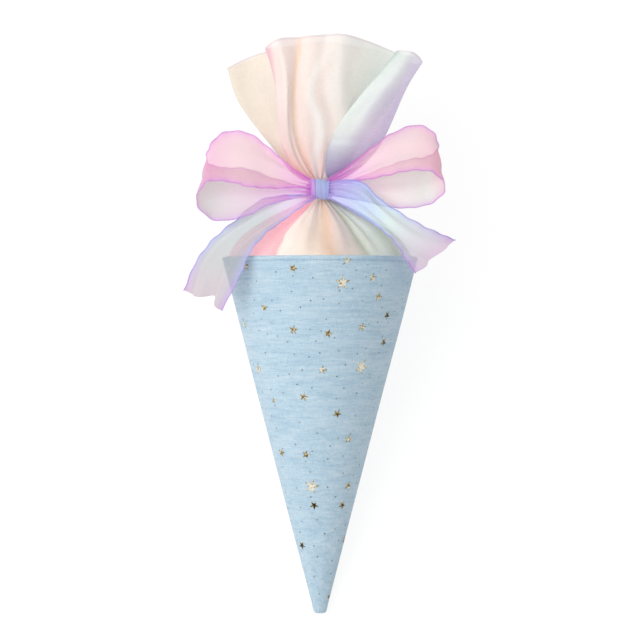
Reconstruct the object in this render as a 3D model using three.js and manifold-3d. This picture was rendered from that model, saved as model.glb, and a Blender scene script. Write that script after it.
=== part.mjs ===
// A cone-shaped gift bag. A card cone is covered in starry cotton gauze, and a sheer gathered cloth
// stands in its mouth, drawn in at the neck by a wide ribbon tied in a bow.
// Millimetres. Each piece is drawn upright: +Z up the cone's axis, +X to the right, -Y to the front.
// The whole bag is then laid on its back, because a cone that ends in a point can't stand.
import * as THREE from "three";
import { ParametricGeometry } from "three/addons/geometries/ParametricGeometry.js";
import { mergeVertices } from "three/addons/utils/BufferGeometryUtils.js";
import Module from "manifold-3d";

// Driving dimensions
const CONE_LENGTH = 280; // tip to rim, along the axis
const RIM_RADIUS = 77; // outside of the gauze at the rim
const TIP_RADIUS = 4.6; // outside of the gauze at the blunt tip
const TIP_ROUNDING = 3; // edge radius of the blunt tip
const GAUZE_THICKNESS = 0.9;
const CARD_THICKNESS = 0.9;
const LAYER_GAP = 0.3; // clearance between layers that touch
const HEM_DEPTH = 3.6; // the turned and stitched edge at the rim
const HEM_SWELL = 0.5; // how far the folded hem stands proud
const TURN_IN = 12; // gauze turned over the card's rim and glued inside
const REST_FLAT_DEPTH = 0.5; // how much the soft gauze flattens where the bag lies
const REST_POINT = 214.21; // distance from the tip to the point on the rest line that is the origin

const CLOTH_THICKNESS = 0.5; // the sheer cloth
const CLOTH_TUCK = 8; // how far the cloth reaches down inside the rim
const NECK_RISE = 52.7; // rim to the middle of the knot
const NECK_RADIUS = 9.6; // over the gathered cloth at the neck
const NECK_HEIGHT = 13; // the length of neck that the ribbon holds
const FAN_LENGTH = 120; // neck to the free edge of the fan
const FAN_HALF_WIDTH = 76.5;
const FAN_HALF_DEPTH = 37; // at the free edge
const FAN_CORNER_DROP = 24; // the fan's side corners hang this much lower than its middle
const FAN_LEAN = 3.5; // the free edge leans this far to the right
const FAN_FULLNESS = 0.6; // how much deeper the fan is halfway up than a straight-sided one
const GATHERS = 12; // small pleats that the ribbon draws in
const FOLDS = 7; // broad folds of the skirt

const RIBBON_WIDTH = 40;
const RIBBON_THICKNESS = 0.6;
const KNOT_WIDTH = 13.2;
const KNOT_HEIGHT = 17;
const KNOT_DEPTH = 11;
const BAND_HEIGHT = 9.6; // ribbon that passes round the neck, squeezed to this height

const ROUND_SIDES = 60; // sides of the cone
const CLOTH_STEPS_PER_GATHER = 7;

// Places that follow from the driving dimensions
const TAPER = (RIM_RADIUS - TIP_RADIUS) / CONE_LENGTH;
const HALF_ANGLE = Math.atan(TAPER);
const KNOT_LEVEL = CONE_LENGTH + NECK_RISE;
const BAND_INNER_RADIUS = NECK_RADIUS + 2 * LAYER_GAP;
const KNOT_BACK = BAND_INNER_RADIUS; // the knot stands on the band, in front of the neck

const coneRadius = (level) => TIP_RADIUS + TAPER * level;
const point = (radius, level) => new THREE.Vector2(radius, level);

// Revolves a closed profile of (radius, level) points about the bag's axis.
function revolved(profile) {
  const geometry = new THREE.LatheGeometry(profile, ROUND_SIDES, Math.PI / 2);
  return geometry.rotateX(Math.PI / 2);
}

// Presses every vertex that reaches past the rest plane back onto it.
function flattenedWhereItLies(geometry) {
  const outward = new THREE.Vector3(0, Math.cos(HALF_ANGLE), -Math.sin(HALF_ANGLE));
  const planeOffset = TIP_RADIUS * Math.cos(HALF_ANGLE) - REST_FLAT_DEPTH;
  const position = geometry.getAttribute("position");
  const vertex = new THREE.Vector3();
  for (let i = 0; i < position.count; i++) {
    vertex.fromBufferAttribute(position, i);
    const excess = vertex.dot(outward) - planeOffset;
    if (excess > 0) vertex.addScaledVector(outward, -excess);
    position.setXYZ(i, vertex.x, vertex.y, vertex.z);
  }
  return geometry;
}

// Points of a quarter round from one direction angle to another.
function arc(centreRadius, centreLevel, radius, from, to, steps) {
  return Array.from({ length: steps + 1 }, (_, i) => {
    const angle = from + ((to - from) * i) / steps;
    return point(centreRadius + radius * Math.cos(angle), centreLevel + radius * Math.sin(angle));
  });
}

// The gauze: up the outside, over the card's rim with a swollen stitched hem, and down inside.
function gauzeCover() {
  const lipOuter = GAUZE_THICKNESS + CARD_THICKNESS + 2 * LAYER_GAP;
  const lipInner = lipOuter + GAUZE_THICKNESS;
  const hemFoot = CONE_LENGTH - HEM_DEPTH;
  const rimRound = (lipInner + HEM_SWELL) / 2;
  const rimLevel = CONE_LENGTH - rimRound;
  const innerTip = GAUZE_THICKNESS + LAYER_GAP;
  const profile = [
    point(0, 0),
    ...arc(coneRadius(TIP_ROUNDING) - TIP_ROUNDING, TIP_ROUNDING, TIP_ROUNDING, -Math.PI / 2, 0, 3),
    point(coneRadius(CONE_LENGTH / 2), CONE_LENGTH / 2),
    point(coneRadius(hemFoot) - GAUZE_THICKNESS / 4, hemFoot),
    point(coneRadius(hemFoot) + HEM_SWELL, hemFoot + HEM_SWELL),
    ...arc(coneRadius(rimLevel) + HEM_SWELL - rimRound, rimLevel, rimRound, 0, Math.PI, 6),
    point(coneRadius(CONE_LENGTH - TURN_IN) - lipInner, CONE_LENGTH - TURN_IN),
    point(coneRadius(CONE_LENGTH - TURN_IN) - lipOuter, CONE_LENGTH - TURN_IN),
    point(coneRadius(rimLevel) - lipOuter, rimLevel),
    point(coneRadius(rimLevel) - GAUZE_THICKNESS, rimLevel),
    point(coneRadius(innerTip) - GAUZE_THICKNESS, innerTip),
    point(0, innerTip),
  ];
  return flattenedWhereItLies(revolved(profile));
}

// The card: a plain cone that stiffens the gauze, closed at its tip and open at its mouth.
function cardCone() {
  const outer = GAUZE_THICKNESS + LAYER_GAP;
  const inner = outer + CARD_THICKNESS;
  const foot = GAUZE_THICKNESS + 2 * LAYER_GAP;
  const hemHalf = (inner + GAUZE_THICKNESS + LAYER_GAP + HEM_SWELL) / 2;
  const mouth = CONE_LENGTH - hemHalf - LAYER_GAP;
  const floor = foot + CARD_THICKNESS;
  return revolved([
    point(0, foot),
    point(coneRadius(foot) - outer, foot),
    point(coneRadius(mouth) - outer, mouth),
    point(coneRadius(mouth) - inner, mouth),
    point(coneRadius(floor) - inner, floor),
    point(0, floor),
  ]);
}

const clothSeat = GAUZE_THICKNESS * 2 + CARD_THICKNESS + LAYER_GAP * 4 + CLOTH_THICKNESS / 2;
const tuckLevel = CONE_LENGTH - CLOTH_TUCK;
const neckFoot = KNOT_LEVEL - NECK_HEIGHT / 2;
const neckHead = KNOT_LEVEL + NECK_HEIGHT / 2;
const gatherDepth = NECK_RADIUS * 0.36; // half the height of a drawn-in pleat
const gatherMiddle = NECK_RADIUS - gatherDepth - CLOTH_THICKNESS / 2;

// Stations up the skirt: its radius and level, and the depth of the gathers and of the folds there.
const SKIRT_REACH = NECK_RISE - NECK_HEIGHT / 2;
const seatRadius = (level) => coneRadius(level) - clothSeat;
const skirtStations = [
  { radius: seatRadius(tuckLevel), level: tuckLevel, gather: 0, fold: 0 },
  { radius: seatRadius(tuckLevel), level: CONE_LENGTH - 2, gather: 0, fold: 0 },
  { radius: RIM_RADIUS * 0.82, level: CONE_LENGTH + SKIRT_REACH * 0.12, gather: 0.7, fold: 0.4 },
  { radius: RIM_RADIUS * 0.66, level: CONE_LENGTH + SKIRT_REACH * 0.36, gather: 1.7, fold: 1.6 },
  { radius: RIM_RADIUS * 0.38, level: CONE_LENGTH + SKIRT_REACH * 0.68, gather: 2.6, fold: 1.4 },
  { radius: RIM_RADIUS * 0.17, level: CONE_LENGTH + SKIRT_REACH * 0.93, gather: gatherDepth, fold: 0.3 },
  { radius: gatherMiddle, level: neckFoot + 0.5, gather: gatherDepth, fold: 0 },
  { radius: gatherMiddle, level: neckHead, gather: gatherDepth, fold: 0 },
];
const skirtShape = new THREE.CatmullRomCurve3(
  skirtStations.map((s) => new THREE.Vector3(s.radius, s.level, 0)),
);
const skirtFolding = new THREE.CatmullRomCurve3(
  skirtStations.map((s) => new THREE.Vector3(s.gather, s.fold, 0)),
);

// The free edge of the fan, from its left corner over the front to its right corner and on round the
// back, as shares of the fan's half width, half depth and corner drop. A late fold opens out high up,
// so its edge leans in from the corner instead of running straight to the neck.
const FRONT_FOLDS = 15; // steps from the left corner to the right one
const fanFolds = [
  { right: -1, forward: 0, drop: 1, lateness: 0.95 },
  { right: -0.75, forward: 0.08, drop: 0.62, lateness: 0.95 },
  { right: -0.52, forward: 0.43, drop: 0.42, lateness: 0.85 },
  { right: -0.45, forward: 0.59, drop: 0.33, lateness: 0.8 },
  { right: -0.61, forward: 0.7, drop: 0.46, lateness: 0.72 },
  { right: -0.48, forward: 0.89, drop: 0.17, lateness: 0.9 },
  { right: -0.27, forward: 0.59, drop: 0.08, lateness: 1 },
  { right: -0.12, forward: 0.84, drop: 0.04, lateness: 0.95 },
  { right: 0.03, forward: 0.68, drop: 0, lateness: 1.05 },
  { right: 0.19, forward: 0.89, drop: 0, lateness: 1.2 },
  { right: 0.45, forward: 0.68, drop: 0.21, lateness: 1.1 },
  { right: 0.76, forward: 0.46, drop: 0.58, lateness: 1 },
  { right: 0.91, forward: 0.49, drop: 0.71, lateness: 1 },
  { right: 0.74, forward: 0.89, drop: 0.54, lateness: 3.3 },
  { right: 0.9, forward: 0.95, drop: 0.58, lateness: 2 },
  { right: 1, forward: 0.11, drop: 0.88, lateness: 0.95 },
  { right: 0.82, forward: -0.51, drop: 0.71, lateness: 0.95 },
  { right: 0.57, forward: -0.51, drop: 0.38, lateness: 1 },
  { right: 0.31, forward: -0.92, drop: 0.17, lateness: 1 },
  { right: 0.02, forward: -0.73, drop: 0.04, lateness: 1.1 },
  { right: -0.29, forward: -1, drop: 0.12, lateness: 1 },
  { right: -0.54, forward: -0.68, drop: 0.33, lateness: 1.1 },
  { right: -0.8, forward: -0.7, drop: 0.71, lateness: 0.95 },
];
const fanEdge = new THREE.CatmullRomCurve3(
  fanFolds.map(
    (f) =>
      new THREE.Vector3(
        f.right * FAN_HALF_WIDTH + FAN_LEAN,
        -f.forward * FAN_HALF_DEPTH,
        FAN_LENGTH - NECK_HEIGHT / 2 - f.drop * FAN_CORNER_DROP,
      ),
  ),
  true,
);
const fanLateness = new THREE.CatmullRomCurve3(
  fanFolds.map((f) => new THREE.Vector3(f.lateness, 0, 0)),
  true,
);
const FRONT_SHARE = FRONT_FOLDS / fanFolds.length;

// The direction from the axis of a place that is that far round the cloth, starting on the left.
function directionRound(turn) {
  const inFront = turn < FRONT_SHARE;
  const half = inFront ? turn / FRONT_SHARE : (turn - FRONT_SHARE) / (1 - FRONT_SHARE);
  return Math.PI * (half + (inFront ? 1 : 2));
}

function skirtMiddle(turn, share, target) {
  const shape = skirtShape.getPoint(share);
  const folding = skirtFolding.getPoint(share);
  const around = turn * 2 * Math.PI;
  const gather = folding.x * Math.cos(GATHERS * around);
  const fold = folding.y * Math.cos(FOLDS * around + 0.9 + 0.5 * Math.sin(2 * around));
  const reach = shape.x + gather + fold;
  const angle = directionRound(turn);
  return target.set(reach * Math.cos(angle), reach * Math.sin(angle), shape.y + 0.12 * fold);
}

function fanMiddle(turn, share, target) {
  const risen = Math.max(share, 1e-4);
  const edge = fanEdge.getPoint(turn);
  const opened = risen ** (0.6 * fanLateness.getPoint(turn).x);
  const deepened = risen ** 0.6;
  const fullness = 1 + FAN_FULLNESS * Math.sin(Math.PI * risen);
  const gather = (gatherDepth * (1 - risen) ** 3 + 0.15) * Math.cos(GATHERS * turn * 2 * Math.PI);
  const angle = directionRound(turn);
  const narrowed = gatherMiddle * (1 - opened) + gather;
  const shallow = gatherMiddle * (1 - deepened) + gather;
  return target.set(
    narrowed * Math.cos(angle) + edge.x * opened,
    shallow * Math.sin(angle) + edge.y * deepened * fullness,
    neckHead + edge.z * risen,
  );
}

// A point of the cloth's middle surface: turn goes round the bag and share goes up it, both 0 to 1.
const SKIRT_SHARE = 0.4;
function clothMiddle(turn, share, target) {
  const round = ((turn % 1) + 1) % 1;
  if (share < SKIRT_SHARE) return skirtMiddle(round, share / SKIRT_SHARE, target);
  return fanMiddle(round, (share - SKIRT_SHARE) / (1 - SKIRT_SHARE), target);
}

// Where the cloth is sampled on its way up: once or twice between skirt stations, then up the fan.
const lastStation = skirtStations.length - 1;
const clothShares = [
  ...[0, 1, 1.5, 2, 2.5, 3, 3.5, 4, 4.5, 5, 5.5, 6, 6.98].map((s) => (s / lastStation) * SKIRT_SHARE),
  ...[0.05, 0.12, 0.22, 0.35, 0.5, 0.66, 0.83, 1].map((s) => SKIRT_SHARE + s * (1 - SKIRT_SHARE)),
];

// A point offset from a surface along its normal, found from two neighbours on the surface.
function offsetFrom(surface, a, b, distance, target) {
  const step = 1e-4;
  const here = surface(a, b, new THREE.Vector3());
  const backA = surface(a - step, b, new THREE.Vector3());
  const aheadA = surface(a + step, b, new THREE.Vector3());
  const backB = surface(a, Math.max(b - step, 0), new THREE.Vector3());
  const aheadB = surface(a, Math.min(b + step, 1), new THREE.Vector3());
  const normal = aheadA.sub(backA).cross(aheadB.sub(backB)).normalize();
  return target.copy(here).addScaledVector(normal, distance);
}

// The cloth is one tube of sheer cloth: up its outside, over the free edge and down its inside.
function gatheredCloth() {
  const turns = GATHERS * CLOTH_STEPS_PER_GATHER;
  const last = clothShares.length - 1;
  const loop = 2 * (last + 1);
  const surface = (aroundShare, loopShare, target) => {
    const at = Math.round(loopShare * loop) % loop;
    const outside = at <= last;
    const share = clothShares[outside ? at : loop - 1 - at];
    const side = outside ? CLOTH_THICKNESS / 2 : -CLOTH_THICKNESS / 2;
    const turn = (Math.round(aroundShare * turns) % turns) / turns;
    return offsetFrom(clothMiddle, turn, share, side, target);
  };
  return new ParametricGeometry(surface, turns, loop);
}

// Ribbon stations are [right, forward, up] of the ribbon's two edges, and the depth of its ruffle there.
// Up is measured from the middle of the knot, and forward from the bag's axis. They are written for a
// ribbon of this width, and spread from the knot in proportion when it is wider.
const WRITTEN_WIDTH = 40;
const leftLoop = [
  { back: [-2, 13, 5.5], front: [-2, 15, 1.2], ruffle: 0.6 },
  { back: [-22, 12, 17], front: [-20, 20, 1], ruffle: 1.4 },
  { back: [-40, 11, 32], front: [-37, 27, 0], ruffle: 1.5 },
  { back: [-57, 11, 44], front: [-55, 35, 1], ruffle: 0.6 },
  { back: [-76, 11, 44], front: [-72, 35, 5], ruffle: 0.5 },
  { back: [-87, 14, 32], front: [-89, 37, 4], ruffle: 0 },
  { back: [-88, 13, 21], front: [-96, 37, -11], ruffle: 0 },
  { back: [-76, 9, 17], front: [-83, 32, -24.5], ruffle: 0.3 },
  { back: [-58, 9, 16], front: [-59, 30, -22], ruffle: 0.7 },
  { back: [-36, 10, 8], front: [-38, 25, -9], ruffle: 1.2 },
  { back: [-2, 13, -0.8], front: [-2, 15, -4], ruffle: 0.5 },
];
const rightLoop = [
  { back: [2, 13, 5.5], front: [2, 14, 1.2], ruffle: 0.6 },
  { back: [20, 13.5, 17], front: [20, 19, 5], ruffle: 1 },
  { back: [38, 14, 31], front: [38, 26, 8], ruffle: 1.2 },
  { back: [56, 11, 44], front: [55, 37, 11], ruffle: 0.6 },
  { back: [76, 11, 50.5], front: [72, 37, 14], ruffle: 0.5 },
  { back: [89, 14, 44], front: [88, 38, 12], ruffle: 0 },
  { back: [92, 13, 32], front: [97, 37, 0], ruffle: 0 },
  { back: [84, 8, 26], front: [88, 32, -10.5], ruffle: 0.4 },
  { back: [70, 9, 24], front: [72, 31, -14.5], ruffle: 0.8 },
  { back: [52, 9, 18], front: [54, 25, -14], ruffle: 1.2 },
  { back: [30, 10, 9], front: [32, 18, -9], ruffle: 1 },
  { back: [2, 12.5, -0.8], front: [2, 13.5, -4], ruffle: 0.5 },
];
const leftTail = [
  { back: [-2, 14, -5.2], front: [-2, 17.5, -6.6], ruffle: 0.2 },
  { back: [-22, 18, -9], front: [-14, 28, -15], ruffle: 0.9 },
  { back: [-45, 14, -17], front: [-29, 34, -27], ruffle: 1.8 },
  { back: [-66, 19, -27], front: [-43, 51, -38], ruffle: 2 },
  { back: [-84, 24, -40], front: [-55, 63, -51], ruffle: 2 },
  { back: [-97, 28, -56], front: [-63, 63, -69], ruffle: 2.4 },
  { back: [-106, 28, -79], front: [-76, 54, -95], ruffle: 3.4 },
];
const rightTail = [
  { back: [2, 18, 4], front: [2, 18, -5], ruffle: 0.6 },
  { back: [20, 23, 7], front: [16, 23, -12], ruffle: 1.2 },
  { back: [34, 30, 4], front: [29, 34, -20], ruffle: 1.8 },
  { back: [46, 34, -8], front: [40, 46, -27], ruffle: 2 },
  { back: [62, 38, -20], front: [50, 60, -36], ruffle: 2 },
  { back: [79, 38, -30], front: [58, 66, -45], ruffle: 2 },
  { back: [94, 33, -36], front: [66, 64, -57], ruffle: 2.6 },
  { back: [106, 28, -39.5], front: [74, 57, -66], ruffle: 3.6 },
];
const RUFFLE_WAVES = 2; // full waves across the ribbon's width

// A length of ribbon lofted between its two edges, with a ruffle across it and a flat cut at each end.
function ribbonLength(stations, lengthSteps, widthSteps) {
  const spread = RIBBON_WIDTH / WRITTEN_WIDTH;
  const place = ([x, forward, up]) =>
    new THREE.Vector3(x * spread, -KNOT_BACK - (forward - KNOT_BACK) * spread, KNOT_LEVEL + up * spread);
  const backEdge = new THREE.CatmullRomCurve3(stations.map((s) => place(s.back)));
  const frontEdge = new THREE.CatmullRomCurve3(stations.map((s) => place(s.front)));
  const ruffle = new THREE.CatmullRomCurve3(stations.map((s) => new THREE.Vector3(s.ruffle, 0, 0)));
  const middle = (across, along, target) => {
    const wave = ruffle.getPoint(along).x * Math.sin(across * RUFFLE_WAVES * 2 * Math.PI);
    target.lerpVectors(backEdge.getPoint(along), frontEdge.getPoint(along), across);
    target.y -= wave;
    return target;
  };
  const loop = 2 * widthSteps;
  const surface = (loopShare, alongShare, target) => {
    const at = Math.round(loopShare * loop) % loop;
    const across = (at <= widthSteps ? at : loop - at) / widthSteps;
    const row = Math.round(alongShare * (lengthSteps + 2)) - 1;
    const along = THREE.MathUtils.clamp(row, 0, lengthSteps) / lengthSteps;
    const isCut = row < 0 || row > lengthSteps;
    const isEdge = at === 0 || at === widthSteps;
    const side = at < widthSteps ? RIBBON_THICKNESS / 2 : -RIBBON_THICKNESS / 2;
    return offsetFrom(middle, across, along, isCut || isEdge ? 0 : side, target);
  };
  return new ParametricGeometry(surface, loop, lengthSteps + 2);
}

// The ribbon's turn round the neck, lower and wider in front where it meets the knot.
function neckBand() {
  const half = BAND_HEIGHT / 2;
  const profile = [
    point(BAND_INNER_RADIUS, -half),
    point(BAND_INNER_RADIUS + RIBBON_THICKNESS, -half),
    point(BAND_INNER_RADIUS + 2 * RIBBON_THICKNESS, -half / 3),
    point(BAND_INNER_RADIUS + RIBBON_THICKNESS, 0),
    point(BAND_INNER_RADIUS + 2 * RIBBON_THICKNESS, half / 3),
    point(BAND_INNER_RADIUS + RIBBON_THICKNESS, half),
    point(BAND_INNER_RADIUS, half),
    point(BAND_INNER_RADIUS, -half),
  ];
  return revolved(profile).translate(0, 0, KNOT_LEVEL);
}

// The knot: a flat turn of ribbon, bulging in front, drawn as a barrel lying on its side.
function knot() {
  const halfHeight = KNOT_HEIGHT / 2;
  const outline = new THREE.Shape();
  outline.absellipse(0, 0, KNOT_DEPTH / 2, halfHeight, 0, 2 * Math.PI);
  const bevel = 1.2;
  const geometry = new THREE.ExtrudeGeometry(outline, {
    depth: KNOT_WIDTH - 2 * bevel,
    bevelThickness: bevel,
    bevelSize: bevel,
    bevelOffset: -bevel,
    bevelSegments: 2,
    curveSegments: 12,
  });
  geometry.translate(0, 0, -(KNOT_WIDTH - 2 * bevel) / 2).rotateY(Math.PI / 2);
  return geometry.rotateX(Math.PI / 2).translate(0, -(KNOT_BACK + KNOT_DEPTH / 2), KNOT_LEVEL);
}

const wasm = await Module();
wasm.setup();

function solidOf(geometry) {
  const bare = geometry.index ? geometry.toNonIndexed() : geometry.clone();
  bare.deleteAttribute("normal");
  bare.deleteAttribute("uv");
  const merged = mergeVertices(bare, 1e-3);
  const solid = new wasm.Manifold(
    new wasm.Mesh({
      numProp: 3,
      vertProperties: merged.getAttribute("position").array,
      triVerts: new Uint32Array(merged.index.array),
    }),
  );
  if (solid.volume() < 0) throw new Error("a piece is inside out");
  return solid;
}

function geometryOf(solid) {
  const mesh = solid.getMesh();
  const vertices = new Float32Array(mesh.numVert * 3);
  for (let i = 0; i < mesh.numVert; i++) {
    vertices.set(mesh.vertProperties.subarray(i * mesh.numProp, i * mesh.numProp + 3), i * 3);
  }
  return new THREE.BufferGeometry()
    .setAttribute("position", new THREE.BufferAttribute(vertices, 3))
    .setIndex(new THREE.BufferAttribute(mesh.triVerts, 1));
}

// One ribbon, tied: its turn round the neck, the knot, two loops and two tails are a single piece.
function tiedRibbon() {
  const pieces = [
    knot(),
    neckBand(),
    ribbonLength(leftLoop, 26, 10),
    ribbonLength(rightLoop, 26, 10),
    ribbonLength(leftTail, 15, 10),
    ribbonLength(rightTail, 15, 10),
  ];
  return geometryOf(pieces.map(solidOf).reduce((joined, piece) => joined.add(piece)));
}

const finishes = {
  gauze: new THREE.MeshStandardMaterial({ color: 0xb5cfe0, roughness: 0.95 }),
  card: new THREE.MeshStandardMaterial({ color: 0xe9e4d8, roughness: 0.9 }),
  sheerCloth: new THREE.MeshStandardMaterial({ color: 0xf3e2da, roughness: 0.6 }),
  ribbon: new THREE.MeshStandardMaterial({ color: 0xe3a6d8, roughness: 0.5 }),
};

function piece(name, geometry, material) {
  const mesh = new THREE.Mesh(geometry, material);
  mesh.name = name;
  return mesh;
}

const bag = new THREE.Group();
bag.add(
  piece("gauze_cover", gauzeCover(), finishes.gauze),
  piece("card_cone", cardCone(), finishes.card),
  piece("gathered_cloth", gatheredCloth(), finishes.sheerCloth),
  piece("ribbon_bow", tiedRibbon(), finishes.ribbon),
);

// Laid on its back: the line down the back of the cone lies level, at the height of the floor.
const restRadius = coneRadius(REST_POINT);
bag.rotation.x = HALF_ANGLE - Math.PI / 2;
bag.position.set(
  0,
  -(REST_POINT * Math.cos(HALF_ANGLE) + restRadius * Math.sin(HALF_ANGLE)),
  TIP_RADIUS * Math.cos(HALF_ANGLE) - REST_FLAT_DEPTH,
);

const laidDown = new THREE.Group();
laidDown.add(bag);

export default laidDown;
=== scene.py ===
import math

import bmesh
import bpy
import numpy as np
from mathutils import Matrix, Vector


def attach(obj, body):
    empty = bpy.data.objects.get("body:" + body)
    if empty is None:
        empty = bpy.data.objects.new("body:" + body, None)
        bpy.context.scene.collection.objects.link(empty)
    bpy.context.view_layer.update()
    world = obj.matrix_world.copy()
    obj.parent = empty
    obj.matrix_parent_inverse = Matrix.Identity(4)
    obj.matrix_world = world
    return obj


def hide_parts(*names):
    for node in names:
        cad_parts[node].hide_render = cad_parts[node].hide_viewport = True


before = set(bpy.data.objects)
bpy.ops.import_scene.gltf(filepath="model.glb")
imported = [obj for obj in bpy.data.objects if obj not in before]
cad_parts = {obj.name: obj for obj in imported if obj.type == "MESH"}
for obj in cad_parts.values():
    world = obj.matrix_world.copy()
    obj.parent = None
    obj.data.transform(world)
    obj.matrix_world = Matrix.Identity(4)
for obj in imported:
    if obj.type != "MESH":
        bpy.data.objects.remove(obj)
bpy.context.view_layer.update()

# The gauze cover.
# Cotton double gauze, printed with foil, glued over a card cone: one quarter-circle of cloth with a
# seam down the back. Its edge is turned, stitched a few millimetres down, and tucked inside the rim.
CONE_LENGTH = 280.0
RIM_RADIUS = 77.0
TIP_RADIUS = 4.6
TIP_ROUNDING = 3.0
GAUZE_THICKNESS = 0.9
CARD_THICKNESS = 0.9
LAYER_GAP = 0.3
HEM_DEPTH = 3.6
HEM_SWELL = 0.5
TURN_IN = 12.0
REST_FLAT_DEPTH = 0.5
REST_POINT = 214.21
CUT_RADIUS = 0.298
SWELL, FINE_SWELL = 0.22, 0.14  # how far the gauze stands off the card here and there
PUCKERS_ROUND, PUCKER_DEPTH, PUCKER_SPREAD = 88, 0.22, 2.2
SEAM_HEIGHT, SEAM_WIDTH = 0.5, 1.4
TAPER = (RIM_RADIUS - TIP_RADIUS) / CONE_LENGTH
HALF_ANGLE = math.atan(TAPER)


def laid(right, forward, up):
    """The row frame's place, in metres, of a point given in millimetres on the upright bag."""
    right, forward, up = np.broadcast_arrays(np.float64(right), forward, up)
    sine, cosine = math.sin(HALF_ANGLE), math.cos(HALF_ANGLE)
    rest_radius = TIP_RADIUS + TAPER * REST_POINT
    along = up * cosine - forward * sine - REST_POINT * cosine - rest_radius * sine
    height = up * sine + forward * cosine + TIP_RADIUS * cosine - REST_FLAT_DEPTH
    return np.stack([right, along, height], axis=-1) / 1000


def cone_radius(level):
    return TIP_RADIUS + TAPER * level


def arc(centre, level, radius, start, end, steps):
    turns = np.linspace(start, end, steps + 1)
    return [(centre + radius * math.cos(a), level + radius * math.sin(a)) for a in turns]


def evenly(points, spacing):
    """The same line of points with more of them, at most that far apart."""
    filled = [points[0]]
    for (r0, z0), (r1, z1) in zip(points, points[1:]):
        steps = max(1, math.ceil(math.hypot(r1 - r0, z1 - z0) / spacing))
        for i in range(1, steps + 1):
            filled.append((r0 + (r1 - r0) * i / steps, z0 + (z1 - z0) * i / steps))
    return filled


def woven(name, places, uvs, around=False, upward=False):
    """A mesh over a grid of places. around and upward say which ways the grid closes on itself."""
    rows, columns = places.shape[:2]
    mesh = bpy.data.meshes.new(name)
    faces, corners = [], []
    for i in range(rows if upward else rows - 1):
        for j in range(columns if around else columns - 1):
            square = [(i, j), (i, j + 1), (i + 1, j + 1), (i + 1, j)]
            faces.append([(a % rows) * columns + b % columns for a, b in square])
            corners.append(square)
    mesh.from_pydata(places.reshape(-1, 3).tolist(), [], faces)
    layer = mesh.uv_layers.new(name="cut")
    at = 0
    for square in corners:
        for a, b in square:
            layer.data[at].uv = uvs(a, b)
            at += 1
    if upward or around:
        form = bmesh.new()
        form.from_mesh(mesh)
        bmesh.ops.remove_doubles(form, verts=form.verts, dist=1e-7)
        bmesh.ops.recalc_face_normals(form, faces=form.faces)
        form.to_mesh(mesh)
        form.free()
    mesh.polygons.foreach_set("use_smooth", [True] * len(mesh.polygons))
    piece = bpy.data.objects.new(name, mesh)
    bpy.context.collection.objects.link(piece)
    return piece


class Strand:
    """One value in a finish. Arithmetic on it adds the Math nodes that work it out."""

    def __init__(self, tree, socket):
        self.tree, self.socket = tree, socket

    def worked(self, operation, first, second):
        node = self.tree.nodes.new("ShaderNodeMath")
        node.operation = operation
        for place, value in zip(node.inputs, (first, second)):
            if isinstance(value, Strand):
                self.tree.links.new(value.socket, place)
            else:
                place.default_value = value
        return Strand(self.tree, node.outputs[0])

    def __add__(self, other):
        return self.worked("ADD", self, other)

    def __sub__(self, other):
        return self.worked("SUBTRACT", self, other)

    def __rsub__(self, other):
        return self.worked("SUBTRACT", other, self)

    def __mul__(self, other):
        return self.worked("MULTIPLY", self, other)

    def __pow__(self, other):
        return self.worked("POWER", self, other)

    __radd__ = __add__
    __rmul__ = __mul__


def dye(code):
    """A colour written as on a dye card, in the renderer's own linear values."""
    shares = [int(code[i : i + 2], 16) / 255 for i in (0, 2, 4)]
    linear = [c / 12.92 if c < 0.04045 else ((c + 0.055) / 1.055) ** 2.4 for c in shares]
    return (*linear, 1.0)


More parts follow.
